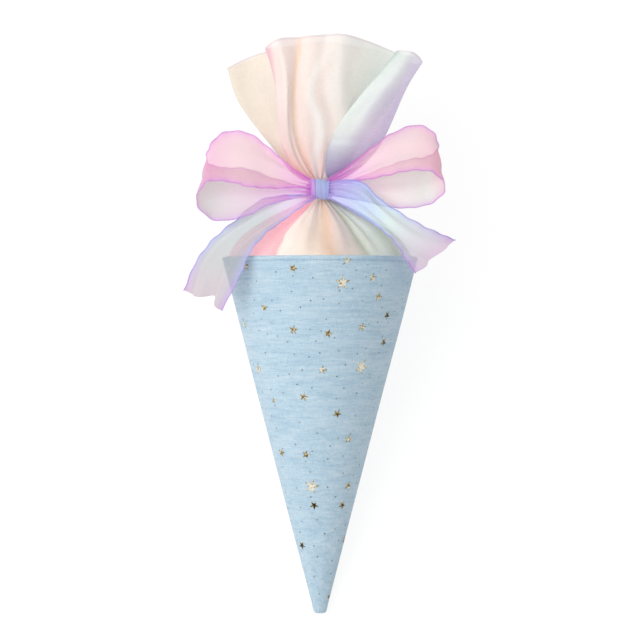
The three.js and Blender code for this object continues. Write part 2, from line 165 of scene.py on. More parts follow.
class Finish:
    """A material for one of the bag's own surfaces, with its constants set on the shader itself."""

    def __init__(self, name, **constants):
        self.material = bpy.data.materials.new(name)
        self.material.use_nodes = True
        self.tree = self.material.node_tree
        self.shader = self.tree.nodes["Principled BSDF"]
        for key, value in constants.items():
            socket = key.replace("_", " ").title().replace("Ior", "IOR")
            self.shader.inputs[socket].default_value = value

    def made(self, kind, settings=(), inputs=(), outlet=0):
        """Adds a node: its settings first, then the values or strands of its sockets."""
        node = self.tree.nodes.new("ShaderNode" + kind)
        for key, value in dict(settings).items():
            if key == "curve":
                node.color_ramp.interpolation = value
            elif key == "stops":
                stops = node.color_ramp.elements
                stops.remove(stops[1])
                stops[0].position, stops[0].color = value[0]
                for place, colour in value[1:]:
                    stops.new(place).color = colour
            else:
                setattr(node, key, value)
        for key, value in dict(inputs).items():
            if isinstance(value, Strand):
                self.tree.links.new(value.socket, node.inputs[key])
            else:
                node.inputs[key].default_value = value
        return Strand(self.tree, node.outputs[outlet])

    def place(self, stretch=(1, 1, 1)):
        """The cut cloth's own coordinates, stretched."""
        cut = self.made("UVMap", {"uv_map": "cut"})
        return self.made("Mapping", inputs={"Vector": cut, "Scale": stretch})

    def cut(self, way):
        """How far across the cut cloth a point is, with way 0, or how far along it, with way 1."""
        return self.made("SeparateXYZ", inputs={"Vector": self.place()}, outlet=way)

    def noise(self, where, scale, detail=3.0):
        return self.made("TexNoise", inputs={"Vector": where, "Scale": scale, "Detail": detail})

    def shades(self, value, stops, curve="LINEAR"):
        """Passes from shade to shade. A stop is a place and a dye's code, or a plain number."""
        stops = [(at, dye(to) if isinstance(to, str) else (to, to, to, 1.0)) for at, to in stops]
        return self.made("ValToRGB", {"stops": stops, "curve": curve}, {"Fac": value})

    def passing(self, value, start, end, first=0.0, last=1.0, easing="SMOOTHSTEP"):
        """Goes from the first number to the last while the value goes from start to end."""
        sockets = {"Value": value, 1: start, 2: end, 3: first, 4: last}
        return self.made("MapRange", {"interpolation_type": easing}, sockets)

    def size_of(self, value):
        return self.made("Math", {"operation": "ABSOLUTE"}, {0: value})

    def blended(self, factor, first, second):
        return self.made("Mix", {"data_type": "RGBA"}, {0: factor, 6: first, 7: second}, outlet=2)

    def feed(self, socket, value):
        self.tree.links.new(value.socket, self.shader.inputs[socket])

    def relief(self, height, depth, strength):
        bump = self.made("Bump", inputs={"Height": height, "Distance": depth, "Strength": strength})
        self.feed("Normal", bump)


def finished(piece, finish, slot, *nodes):
    """Gives a piece its finish, hangs it on the bag and hides the CAD nodes that it stands for."""
    piece.data.materials.clear()
    piece.data.materials.append(finish.material)
    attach(piece, "root")
    if nodes:
        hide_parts(*nodes)


def gauze_finish():
    """Crinkled double gauze, woven from pale and deeper blue threads that show as fine streaks."""
    gauze = Finish(
        "gauze", roughness=0.92, sheen_weight=0.25, sheen_roughness=0.6, specular_ior_level=0.2
    )
    weft = gauze.noise(gauze.place((160, 1500, 1)), 1.0)
    warp = gauze.noise(gauze.place((1500, 160, 1)), 1.0)
    crinkle = gauze.noise(gauze.place((40, 420, 1)), 1.0)
    patches = gauze.noise(gauze.place((20, 90, 1)), 1.0)
    tone = 0.4 * weft + 0.35 * warp + 0.35 * crinkle + 0.3 * patches
    gauze.feed("Base Color", gauze.shades(tone, [(0.5, "9DBCD2"), (0.7, "BAD4E4"), (0.9, "D6E5EE")]))
    gauze.relief(0.3 * weft + 0.2 * warp + crinkle, 0.0011, 0.75)
    return gauze


ROUND_STEPS = 288
lip_outer = GAUZE_THICKNESS + CARD_THICKNESS + 2 * LAYER_GAP
lip_inner = lip_outer + GAUZE_THICKNESS
hem_foot = CONE_LENGTH - HEM_DEPTH
rim_round = (lip_inner + HEM_SWELL) / 2
rim_level = CONE_LENGTH - rim_round
turned_to = CONE_LENGTH - TURN_IN
inner_tip = GAUZE_THICKNESS + LAYER_GAP
profile = [
    (0, 0),
    *arc(cone_radius(TIP_ROUNDING) - TIP_ROUNDING, TIP_ROUNDING, TIP_ROUNDING, -math.pi / 2, 0, 6),
    (cone_radius(hem_foot) - 0.1, hem_foot - 1.4),
    (cone_radius(hem_foot) - 0.35, hem_foot),
    (cone_radius(hem_foot) + HEM_SWELL, hem_foot + 0.9),
    *arc(cone_radius(rim_level) + HEM_SWELL - rim_round, rim_level, rim_round, 0, math.pi, 12),
    (cone_radius(turned_to) - lip_inner, turned_to),
    (cone_radius(turned_to) - lip_outer, turned_to),
    (cone_radius(rim_level) - lip_outer, rim_level),
    (cone_radius(rim_level) - GAUZE_THICKNESS, rim_level),
    (cone_radius(inner_tip) - GAUZE_THICKNESS, inner_tip),
    (0, inner_tip),
]
profile = evenly(profile, 2.5)
radii, levels = (np.array(side)[:, None] for side in zip(*profile))
around = np.linspace(0, 2 * math.pi, ROUND_STEPS, endpoint=False)[None, :]
outside = (radii > cone_radius(levels) - 0.6) & (levels > 6)
soft = SWELL * np.sin(3 * around + levels / 37) + FINE_SWELL * np.sin(7 * around - levels / 19)
soft = soft * np.minimum(1, levels / 60) * 0.8
pucker = PUCKER_DEPTH * np.sin(PUCKERS_ROUND * around)
pucker = pucker * np.exp(-(((levels - hem_foot) / PUCKER_SPREAD) ** 2))
from_seam = np.minimum(around, 2 * math.pi - around) * radii
seam = SEAM_HEIGHT * np.exp(-((from_seam / SEAM_WIDTH) ** 2)) * (levels < hem_foot)
radii = radii + np.where(outside, soft + pucker + seam - 0.15, 0)
places = laid(-radii * np.sin(around), -radii * np.cos(around), levels)
places[..., 2] = np.maximum(places[..., 2], 0)
steps_along = np.hypot(*np.diff(np.array(profile), axis=0).T)
run = np.concatenate([[0], np.cumsum(steps_along)]) / 1000
cover = woven(
    "starry_gauze_cover",
    places,
    lambda a, b: (b * 2 * math.pi / ROUND_STEPS * CUT_RADIUS * math.sin(HALF_ANGLE), run[a]),
    around=True,
)
finished(cover, gauze_finish(), "gauze", "gauze_cover")


# Foil stars and dots.
# The gauze is printed with gold foil: five-pointed stars in three sizes, with a fine scatter of pin
# dots between them. The print repeats round the cone. How lit or dark each star and dot looks is a
# painted reflection in its foil colour.
STAR_PLACES = [  # degrees to the right of the front, millimetres from the tip, size
    (-49, 272, 7.0), (-16, 270, 7.0), (16, 276, 7.0), (14, 259, 11.6), (34, 263, 7.0), (41, 248, 7.0),
    (-40, 240, 7.0), (53, 234, 7.0), (-69, 227, 7.0), (-19, 223, 7.0), (31, 225, 7.0), (6, 220, 7.0),
    (56, 213, 7.0), (-62, 192, 8.4), (2, 192, 7.0), (36, 194, 11.6), (-15, 171, 7.0), (-49, 168, 4.8),
    (17, 158, 7.0), (33, 138, 7.0), (-53, 127, 7.0), (-17, 126, 7.0), (-12, 101, 11.6), (45, 101, 7.0),
    (40, 86, 7.0), (-10, 86, 7.0), (74, 58, 7.0), (-49, 54, 7.0), (61, 13, 4.2),
]
STAR_SPREAD = 1.1  # each star is printed this much larger than its listed size
LARGE_STAR_REACH = 0.0055
BACK_PRINT_DROP = 7
FOIL_LIFT = 0.00012


class Repeat:
    """A node tree that repeats a small form over a piece, with its sizes as named inputs."""

    def __init__(self, name, **sizes):
        self.tree = bpy.data.node_groups.new(name, "GeometryNodeTree")
        face = self.tree.interface
        face.new_socket("Geometry", in_out="INPUT", socket_type="NodeSocketGeometry")
        for key, value in sizes.items():
            kind = "NodeSocketInt" if isinstance(value, int) else "NodeSocketFloat"
            face.new_socket(key, in_out="INPUT", socket_type=kind).default_value = value
        face.new_socket("Geometry", in_out="OUTPUT", socket_type="NodeSocketGeometry")
        self.start = self.tree.nodes.new("NodeGroupInput")
        self.end = self.tree.nodes.new("NodeGroupOutput")

    def size(self, name):
        return self.start.outputs[name]

    def made(self, kind, settings=(), inputs=(), outlet=0):
        node = self.tree.nodes.new(kind)
        for key, value in dict(settings).items():
            setattr(node, key, value)
        for key, value in dict(inputs).items():
            if isinstance(value, bpy.types.NodeSocket):
                self.tree.links.new(value, node.inputs[key])
            else:
                node.inputs[key].default_value = value
        return node.outputs[outlet]

    def random(self, low, high):
        """A number of its own for each copy."""
        inputs = {2: low, 3: high, "Seed": self.size("Seed")}
        return self.made("FunctionNodeRandomValue", {"data_type": "FLOAT"}, inputs, 1)

    def stored(self, geometry, domain, name, value):
        return self.made(
            "GeometryNodeStoreNamedAttribute",
            {"data_type": "FLOAT", "domain": domain},
            {"Geometry": geometry, "Name": name, "Value": value},
        )

    def laid_on(self, name, piece, geometry, material):
        """Ends the tree, runs it on the piece, and gives back the result as a plain mesh piece."""
        real = self.made("GeometryNodeRealizeInstances", inputs={"Geometry": geometry})
        done = self.made("GeometryNodeSetMaterial", inputs={"Geometry": real, "Material": material})
        self.tree.links.new(done, self.end.inputs[0])
        modifier = piece.modifiers.new(name, "NODES")
        modifier.node_group = self.tree
        graph = bpy.context.evaluated_depsgraph_get()
        mesh = bpy.data.meshes.new_from_object(piece.evaluated_get(graph), depsgraph=graph)
        piece.modifiers.remove(modifier)
        made = bpy.data.objects.new(name, mesh)
        bpy.context.collection.objects.link(made)
        return made


def on_surface(tree, geometry, surface, lift):
    """Presses a flat form down onto the surface, a foil's thickness above it."""
    ground = tree.made(
        "GeometryNodeObjectInfo", {"transform_space": "RELATIVE"}, {"Object": surface}, "Geometry"
    )
    near = tree.made("GeometryNodeProximity", {"target_element": "FACES"}, {"Geometry": ground})
    normal = tree.made("GeometryNodeInputNormal")
    above = tree.made(
        "GeometryNodeSampleNearestSurface",
        {"data_type": "FLOAT_VECTOR"},
        {"Mesh": ground, "Value": normal},
    )
    raised = tree.made("ShaderNodeVectorMath", {"operation": "SCALE"}, {"Vector": above, "Scale": lift})
    place = tree.made("ShaderNodeVectorMath", {"operation": "ADD"}, {0: near, 1: raised})
    return tree.made("GeometryNodeSetPosition", inputs={"Geometry": geometry, "Position": place})


def foil_finish(name, dark, middle, bright):
    """Pressed foil. Its colour carries a painted reflection: by its glint each piece is painted dark or
    bright, most in its middle, and a fine noise paints lighter and darker facets.
    """
    foil = Finish(name, metallic=0.5, roughness=0.4)
    shine = foil.made("Attribute", {"attribute_name": "glint"}, outlet=2)
    facet_glint_noise = foil.noise(foil.made("TexCoord", outlet=3), 620.0, 2.0)
    outward = foil.made("Attribute", {"attribute_name": "from_middle"}, outlet=2)
    # Painted reflection: the glint and the facet noise set how lit or dark the foil colour is.
    painted_reflection = 1.2 * (shine - 0.5) * (1 - outward) + 1.9 * facet_glint_noise - 0.42
    foil.feed("Base Color", foil.shades(painted_reflection, [(0.2, dark), (0.55, middle), (0.95, bright)]))
    foil.relief(facet_glint_noise, 0.0001, 0.6)
    return foil


hem_start = profile.index((cone_radius(hem_foot) - 0.35, hem_foot))
outer_line = [p for p in profile[:hem_start] if p[1] > 4]
outer_radii, outer_levels = (np.array(side)[:, None] for side in zip(*outer_line))
printed = woven(
    "printed_side",
    laid(-outer_radii * np.sin(around), -outer_radii * np.cos(around), outer_levels),
    lambda a, b: (0, 0),
    around=True,
)

star_points = bpy.data.meshes.new("star_points")
spots, outwards, sizes = [], [], []
for side, drop in ((0, 0), (180, BACK_PRINT_DROP)):
    for degrees, level, size in STAR_PLACES:
        turn = math.radians(degrees + side)
        level = level - drop if level > 20 else level
        radius = cone_radius(level)
        spot = laid(radius * math.sin(turn), radius * math.cos(turn), level)
        above = laid((radius + 1) * math.sin(turn), (radius + 1) * math.cos(turn), level - TAPER)
        spots.append(spot.tolist())
        outwards.append(((above - spot) * 1000).tolist())
        sizes.append(size * STAR_SPREAD / 2000)
star_points.from_pydata(spots, [], [])
facings = star_points.attributes.new("outward", "FLOAT_VECTOR", "POINT")
facings.data.foreach_set("vector", np.ravel(outwards))
star_points.attributes.new("reach", "FLOAT", "POINT").data.foreach_set("value", sizes)
star_base = bpy.data.objects.new("star_points", star_points)
bpy.context.collection.objects.link(star_base)

stars = Repeat("Foil stars", Points=5, Waist=0.38, Lift=FOIL_LIFT, Seed=11)
outline = stars.made(
    "GeometryNodeCurveStar",
    inputs={"Points": stars.size("Points"), "Inner Radius": stars.size("Waist"), "Outer Radius": 1.0},
)
star = stars.made("GeometryNodeFillCurve", inputs={"Curve": outline})
star = stars.made("GeometryNodeSubdivideMesh", inputs={"Mesh": star, "Level": 3})
at = stars.made("GeometryNodeInputPosition")
from_middle = stars.made("ShaderNodeVectorMath", {"operation": "LENGTH"}, {0: at}, 1)
star = stars.stored(star, "POINT", "from_middle", from_middle)
outward = stars.made(
    "GeometryNodeInputNamedAttribute", {"data_type": "FLOAT_VECTOR"}, {"Name": "outward"}
)
facing = stars.made("FunctionNodeAlignRotationToVector", {"axis": "Z"}, {"Vector": outward})
spin = stars.random(-0.35, 0.35)
turned = stars.made("FunctionNodeAxisAngleToRotation", inputs={"Axis": (0, 0, 1), "Angle": spin})
facing = stars.made(
    "FunctionNodeRotateRotation", {"rotation_space": "LOCAL"}, {"Rotation": facing, "Rotate By": turned}
)
reach = stars.made("GeometryNodeInputNamedAttribute", {"data_type": "FLOAT"}, {"Name": "reach"})
copies = stars.made(
    "GeometryNodeInstanceOnPoints",
    inputs={"Points": stars.start.outputs[0], "Instance": star, "Rotation": facing, "Scale": reach},
)
# Painted reflection: each star gets a random glint, and the large stars the full one, which paints their
# foil bright.
large = stars.made("ShaderNodeMath", {"operation": "GREATER_THAN"}, {0: reach, 1: LARGE_STAR_REACH})
glint = stars.made("ShaderNodeMath", {"operation": "MAXIMUM"}, {0: stars.random(0.0, 0.95), 1: large})
copies = stars.stored(copies, "INSTANCE", "glint", glint)
pressed = stars.made("GeometryNodeRealizeInstances", inputs={"Geometry": copies})
pressed = on_surface(stars, pressed, cover, stars.size("Lift"))
gold = foil_finish("gold_foil", "33260F", "B39B5A", "FFFBEA")
foil_stars = stars.laid_on("foil_stars", star_base, pressed, gold.material)
bpy.data.objects.remove(star_base)
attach(foil_stars, "root")

dots = Repeat("Foil pin dots", Spacing=0.0085, Density=9000.0, Width=0.00066, Lift=FOIL_LIFT, Seed=5)
scatter = dots.tree.nodes.new("GeometryNodeDistributePointsOnFaces")
scatter.distribute_method = "POISSON"
sources = {"Mesh": "Geometry", "Distance Min": "Spacing", "Density Max": "Density", "Seed": "Seed"}
for key, source in sources.items():
    dots.tree.links.new(dots.size(source), scatter.inputs[key])
disc = dots.made(
    "GeometryNodeMeshCircle", {"fill_type": "NGON"}, {"Vertices": 6, "Radius": dots.size("Width")}
)
scattered, turning = scatter.outputs["Points"], scatter.outputs["Rotation"]
copies = dots.made(
    "GeometryNodeInstanceOnPoints",
    inputs={"Points": scattered, "Instance": disc, "Rotation": turning},
)
# Painted reflection: each pin dot gets a random glint, which paints its foil lighter or darker.
copies = dots.stored(copies, "INSTANCE", "glint", dots.random(0.0, 1.0))
pressed = dots.made("GeometryNodeRealizeInstances", inputs={"Geometry": copies})
pressed = on_surface(dots, pressed, cover, dots.size("Lift"))
pin = foil_finish("pin_dot_foil", "6E8296", "8799A8", "A6B0AE")
pin_dots = dots.laid_on("foil_pin_dots", printed, pressed, pin.material)
bpy.data.objects.remove(printed)
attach(pin_dots, "root")


# The hem stitches.
# One row of straight machine stitches in blue thread holds the turned edge of the gauze, a few
# millimetres below the rim. Each stitch sinks a little into the soft cloth.
STITCH_PITCH = 0.0026
STITCH_LENGTH = 0.8 * STITCH_PITCH
THREAD_WIDTH = 0.00042
STITCH_SINK = 0.25


def thread_line(name, lines, closed=False, **values):
    """Bare edges along which thread is laid, with values that go with the points."""
    mesh = bpy.data.meshes.new(name)
    points, edges = [], []
    for line in lines:
        first = len(points)
        points += line.tolist()
        edges += [(first + i, first + i + 1) for i in range(len(line) - 1)]
        if closed:
            edges.append((len(points) - 1, first))
    mesh.from_pydata(points, edges, [])
    for key, numbers in values.items():
        values_on_line = mesh.attributes.new(key, "FLOAT", "POINT")
        values_on_line.data.foreach_set("value", np.concatenate(numbers))
    piece = bpy.data.objects.new(name, mesh)
    bpy.context.collection.objects.link(piece)
    return piece


def threaded(name, line, material, pitch, length, width, height, slant=0.0):
    """Lays short beads of thread along a line, each turned by slant from the line's direction."""
    sewn = Repeat(name, Pitch=pitch, Length=length, Width=width, Height=height, Slant=slant)
    curve = sewn.made("GeometryNodeMeshToCurve", inputs={"Mesh": sewn.start.outputs[0]})
    points = sewn.tree.nodes.new("GeometryNodeCurveToPoints")
    points.mode = "LENGTH"
    sewn.tree.links.new(curve, points.inputs["Curve"])
    sewn.tree.links.new(sewn.size("Pitch"), points.inputs["Length"])
    bead = sewn.made("GeometryNodeMeshUVSphere", inputs={"Segments": 6, "Rings": 4, "Radius": 0.5})
    size = sewn.made(
        "ShaderNodeCombineXYZ",
        inputs={"X": sewn.size("Width"), "Y": sewn.size("Height"), "Z": sewn.size("Length")},
    )
    turned = sewn.made(
        "FunctionNodeAxisAngleToRotation", inputs={"Axis": (0, 1, 0), "Angle": sewn.size("Slant")}
    )
    facing = sewn.made(
        "FunctionNodeRotateRotation",
        {"rotation_space": "LOCAL"},
        {"Rotation": points.outputs["Rotation"], "Rotate By": turned},
    )
    copies = sewn.made(
        "GeometryNodeInstanceOnPoints",
        inputs={"Points": points.outputs["Points"], "Instance": bead, "Rotation": facing, "Scale": size},
    )
    done = sewn.laid_on(name, line, copies, material)
    done.data.polygons.foreach_set("use_smooth", [True] * len(done.data.polygons))
    bpy.data.objects.remove(line)
    return done


stitch_turns = np.linspace(0, 2 * math.pi, 361)[:-1]
stitch_radius = cone_radius(hem_foot) - STITCH_SINK
stitch_places = laid(
    -stitch_radius * np.sin(stitch_turns), -stitch_radius * np.cos(stitch_turns), hem_foot
)
stitch_places[..., 2] = np.maximum(stitch_places[..., 2], 0.0004)
thread = Finish("blue_thread", roughness=0.6, sheen_weight=0.2)
twist = thread.noise(thread.made("TexCoord", outlet=3), 700.0)
thread.feed("Base Color", thread.blended(twist, dye("7FA3C4"), dye("A9C6DF")))
stitches = threaded(
    "hem_stitches",
    thread_line("hem_line", [stitch_places], closed=True),
    thread.material,
    STITCH_PITCH,
    STITCH_LENGTH,
    THREAD_WIDTH,
    THREAD_WIDTH,
)
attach(stitches, "root")


# The card cone.
# A blank of stiff card, rolled into a cone inside the gauze, which keeps its sides straight. It is
# hidden once the bag is tied, and shows only when the cloth top is opened.
card = Finish("plain_card", roughness=0.85, specular_ior_level=0.25)
card_place = card.made("TexCoord", outlet=3)
fibre = card.noise(card_place, 420.0, 5.0)
card.feed("Base Color", card.blended(fibre, dye("DCD3C0"), dye("EFE9DC")))
card.relief(fibre, 0.0002, 0.5)
card_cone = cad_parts["card_cone"]
card_cone.data.materials.clear()
card_cone.data.materials.append(card.material)


# The gathered cloth.
# One tube of sheer crinkled cloth, dyed in soft bands. Its lower edge is sewn inside the rim, the
# ribbon draws it in at the neck, and the rest opens above as a flattened fan of broad folds.
CLOTH_TUCK = 8.0
NECK_RISE = 52.7
NECK_RADIUS = 9.6
NECK_HEIGHT = 13.0
FAN_LENGTH = 120.0
FINE_GATHERS = 24
COLUMNS_PER_GATHER = 14
GATHER_DEPTH = 3.2
FAN_FULLNESS = 0.6  # how much deeper the fan is halfway up than a straight-sided one
SKIRT_ROWS, NECK_ROWS, FAN_ROWS = 46, 8, 72
SKIRT_TOP, FAN_START = 0.36, 0.43  # how far up the cut cloth the skirt ends and the fan begins
BROAD_FOLD, ROOT_GATHER, RIPPLE = 3.6, 2.0, 0.6
FOLD_LEAN = 3.6
FLAP_RISE = 4.5  # how far the right corner's flap stands forward of the folds that it crosses
KNOT_LEVEL = CONE_LENGTH + NECK_RISE
cloth_foot = CONE_LENGTH - CLOTH_TUCK
neck_foot = KNOT_LEVEL - NECK_HEIGHT / 2
neck_head = KNOT_LEVEL + NECK_HEIGHT / 2
FAN_FOLDS = [  # right, forward, drop of the free edge, how late the fold opens, and its swing halfway
    (-73, 0, 24, 0.95, 0), (-54, 3, 15, 0.95, 0), (-36, 16, 10, 0.85, -3), (-31, 22, 8, 0.80, -4),
    (-43, 26, 11, 0.72, 0), (-33, 33, 4, 0.90, -2), (-17, 27, 2, 1.00, -9), (-6, 31, 1, 0.95, -5),
    (6, 29, 0, 1.05, 1), (18, 33, 0, 1.20, 6), (38, 25, 5, 1.10, 3), (62, 17, 14, 1.00, -2),
    (73, 18, 17, 1.00, -5), (60, 33, 13, 3.30, 0), (72, 35, 14, 2.00, 1), (80, 4, 21, 0.95, 0),
    (66, -19, 17, 0.95, 0), (47, -19, 9, 1.00, 0), (27, -34, 4, 1.00, 3), (5, -27, 1, 1.10, -3),
    (-19, -37, 3, 1.00, 2), (-38, -25, 8, 1.10, 0), (-58, -26, 17, 0.95, 0),
]
FRONT_FOLDS = 15  # the first of these is the left corner, and this many steps reach the right one
SKIRT_LINE = [  # radius and height, from the sewn edge up to where the gathers start
    (73.0, 272.0), (72.8, 278.4), (69.0, 284.0), (56.0, 297.0), (37.0, 309.5), (15.0, 321.5),
]


def smooth_line(points, shares):
    """Places along a line that passes smoothly through the points, as a bent spring strip would."""
    points = np.array(points, dtype=float)
    last = len(points) - 1
    at = np.clip(np.asarray(shares, dtype=float), 0, 1) * last
    cell = np.minimum(at.astype(int), last - 1)
    t = (at - cell)[..., None]
    ends = np.vstack([2 * points[0] - points[1], points, 2 * points[-1] - points[-2]])
    p0, p1, p2, p3 = (ends[cell + k] for k in range(4))
    pairs = ((p0, p1), (p1, p2), (p2, p3))
    d0, d1, d2 = (np.linalg.norm(b - a, axis=-1, keepdims=True) ** 0.5 for a, b in pairs)
    d1 = np.where(d1 < 1e-2, 1.0, d1)
    d0, d2 = np.where(d0 < 1e-2, d1, d0), np.where(d2 < 1e-2, d1, d2)
    m1 = ((p1 - p0) / d0 - (p2 - p0) / (d0 + d1) + (p2 - p1) / d1) * d1
    m2 = ((p2 - p1) / d1 - (p3 - p1) / (d1 + d2) + (p3 - p2) / d2) * d1
    return p1 + m1 * t + (3 * p2 - 3 * p1 - 2 * m1 - m2) * t**2 + (2 * p1 - 2 * p2 + m1 + m2) * t**3


def smooth_ring(points, turns):
    """The same round a closed line."""
    points = np.array(points, dtype=float)
    wide = np.vstack([points[-3:], points, points[:4]])
    return smooth_line(wide, (np.asarray(turns) * len(points) + 3) / (len(wide) - 1))


def within(turns, start, end, rise, fall):
    """1 between two places round the cloth, falling to 0 over a short way outside them."""
    return np.clip((turns - start) / rise, 0, 1) * np.clip((end - turns) / fall, 0, 1)


CLOTH_COLUMNS = FINE_GATHERS * COLUMNS_PER_GATHER
cloth_turns = np.arange(CLOTH_COLUMNS) / CLOTH_COLUMNS
fold_right, fold_forward, fold_drop, fold_late, fold_swing = smooth_ring(FAN_FOLDS, cloth_turns).T
front_share = FRONT_FOLDS / len(FAN_FOLDS)
neck_angle = np.where(
    cloth_turns < front_share,
    math.pi * (1 - cloth_turns / front_share),
    -math.pi * (cloth_turns - front_share) / (1 - front_share),
)
neck_right, neck_forward = np.cos(neck_angle), np.sin(neck_angle)
full_turn = 2 * math.pi * cloth_turns
gather_wave = np.cos(FINE_GATHERS * full_turn) * (0.95 + 0.3 * np.sin(5 * full_turn))
slow_wave = np.sin(8 * full_turn + 0.6) + 0.7 * np.sin(13 * full_turn + 2.1)
over = within(cloth_turns, 0.52, 0.67, 0.03, 0.03)
flap = within(cloth_turns, 0.33, 0.70, 0.03, 0.04)
NECK_MIDDLE = NECK_RADIUS - GATHER_DEPTH
skirt_line = smooth_line([*SKIRT_LINE, (NECK_MIDDLE, neck_foot)], np.linspace(0, 1, 400))

rows, row_shares = [], []
for risen in np.linspace(0, 1, SKIRT_ROWS):
    level = cloth_foot + (neck_foot - cloth_foot) * risen
    middle = np.interp(level, skirt_line[:, 1], skirt_line[:, 0])
    broad = BROAD_FOLD * math.sin(math.pi * min(1, max(0, (risen - 0.17) / 0.83))) ** 0.8 * slow_wave
    fine = (0.25 * (risen > 0.2) + 2.3 * risen**1.5) * gather_wave
    reach = middle + broad * min(1, middle / 25) + fine
    flatness = 1 - 0.1 * math.sin(math.pi * min(1, max(0, risen - 0.15)))
    places = [reach * neck_right, reach * neck_forward * flatness, np.full_like(reach, level)]
    rows.append(np.stack(places, axis=-1))
    row_shares.append(SKIRT_TOP * risen)
neck_levels = np.linspace(neck_foot, neck_head, NECK_ROWS)[1:-1]
neck_shares = np.linspace(SKIRT_TOP, FAN_START, NECK_ROWS)[1:-1]
for level, share in zip(neck_levels, neck_shares):
    reach = NECK_MIDDLE + 2.3 * gather_wave
    places = [reach * neck_right, reach * neck_forward, np.full_like(reach, level)]
    rows.append(np.stack(places, axis=-1))
    row_shares.append(share)
for share in np.linspace(0, 1, FAN_ROWS):
    opened = np.maximum(share, 1e-6) ** (0.6 * fold_late)
    swing = fold_swing * math.sin(math.pi * share**0.8)
    swing = swing + FOLD_LEAN * np.sin(3 * full_turn + 1) * math.sin(2 * math.pi * share)
    right = NECK_MIDDLE * neck_right * (1 - opened) + fold_right * opened + swing
    deepened = max(share, 1e-6) ** 0.6
    fullness = 1 + FAN_FULLNESS * math.sin(math.pi * share)
    forward = NECK_MIDDLE * neck_forward * (1 - deepened) + fold_forward * deepened * fullness
    forward = forward + FLAP_RISE * over * math.sin(math.pi * min(1, share / 0.3)) ** 0.5
    up = neck_head + (FAN_LENGTH - NECK_HEIGHT / 2 - fold_drop) * share
    tangent_right = np.roll(right, -1) - np.roll(right, 1)
    tangent_forward = np.roll(forward, -1) - np.roll(forward, 1)
    length = np.hypot(tangent_right, tangent_forward)
    fine = (ROOT_GATHER * (1 - share) ** 4 + 0.12) * gather_wave
    fine = fine * (1 - 0.9 * flap * min(1, share / 0.02))
    ripple = np.sin(11 * full_turn + 5 * share + 1.5 * math.sin(7 * share))
    ripple = ripple + 0.5 * np.sin(26 * full_turn - 8 * share)
    ripple = RIPPLE * share * (1 - 0.45 * share) * ripple
    out_right, out_forward = -tangent_forward / length, tangent_right / length
    right = right + out_right * (fine + ripple)
    forward = forward + out_forward * (fine + ripple)
    rows.append(np.stack([right, forward, up], axis=-1))
    row_shares.append(FAN_START + (1 - FAN_START) * share)
cloth_places = np.array(rows)
cloth = woven(
    "sheer_gathered_cloth",
    laid(cloth_places[..., 0], cloth_places[..., 1], cloth_places[..., 2]),
    lambda a, b: (b / CLOTH_COLUMNS, row_shares[a]),
    around=True,
)


# Besides the dye, two stops are painted fold shade: the orange-beige crease at 0.26, and the grey-green
# at 0.56 where the right-hand panel's edge shades the one beside it.
FAN_DYES_AND_SHADE = [  # place round the cloth, from the left corner over the front to the back, and shade
    (0.00, "EADCC6"), (0.07, "E9DAC8"), (0.13, "ECD0C6"), (0.172, "E8A9B8"), (0.19, "FAE4DE"),
    (0.245, "F9DED6"), (0.26, "F4C8A6"), (0.275, "F9DED4"), (0.33, "F6E6DE"), (0.39, "E8E0D8"),
    (0.44, "DDE2D8"), (0.52, "D6DED6"), (0.56, "AEC0BA"), (0.575, "DEE8E2"), (0.605, "F0F4F2"),
    (0.62, "E0D6EE"), (0.64, "CDBBE8"), (0.665, "C9B6E6"), (0.70, "E6ECE8"), (0.80, "F2E4D8"),
    (1.00, "EADCC6"),
]
# Besides the dye, two stops are painted fold shade: the darker pink at 0.226 just before the sharp fold
# edge, and the dark olive at 0.44 in the gathers' shade on the right.
SKIRT_DYES_AND_SHADE = [
    (0.00, "FAB0C6"), (0.13, "FAACBC"), (0.205, "F8A6B0"), (0.226, "F39CA6"), (0.236, "FFEEE0"),
    (0.30, "FFEAD6"), (0.335, "FFE0C0"), (0.36, "F0C094"), (0.385, "E6CDBE"), (0.42, "DACCBE"),
    (0.44, "A8B48E"), (0.455, "D9E3CF"), (0.50, "DEE9DB"), (0.53, "B9CCB5"), (0.62, "CFDDD6"),
    (0.75, "D6CFE6"), (0.88, "F4CAD0"), (1.00, "FAB0C6"),
]
PLEAT_COURSE = [  # how far up the cloth, and twice how far round it the pleat lies there
    (0.46, 0.60), (0.52, 0.61), (0.60, 0.655), (0.67, 0.655), (0.74, 0.615), (0.83, 0.635),
    (0.93, 0.71),
]


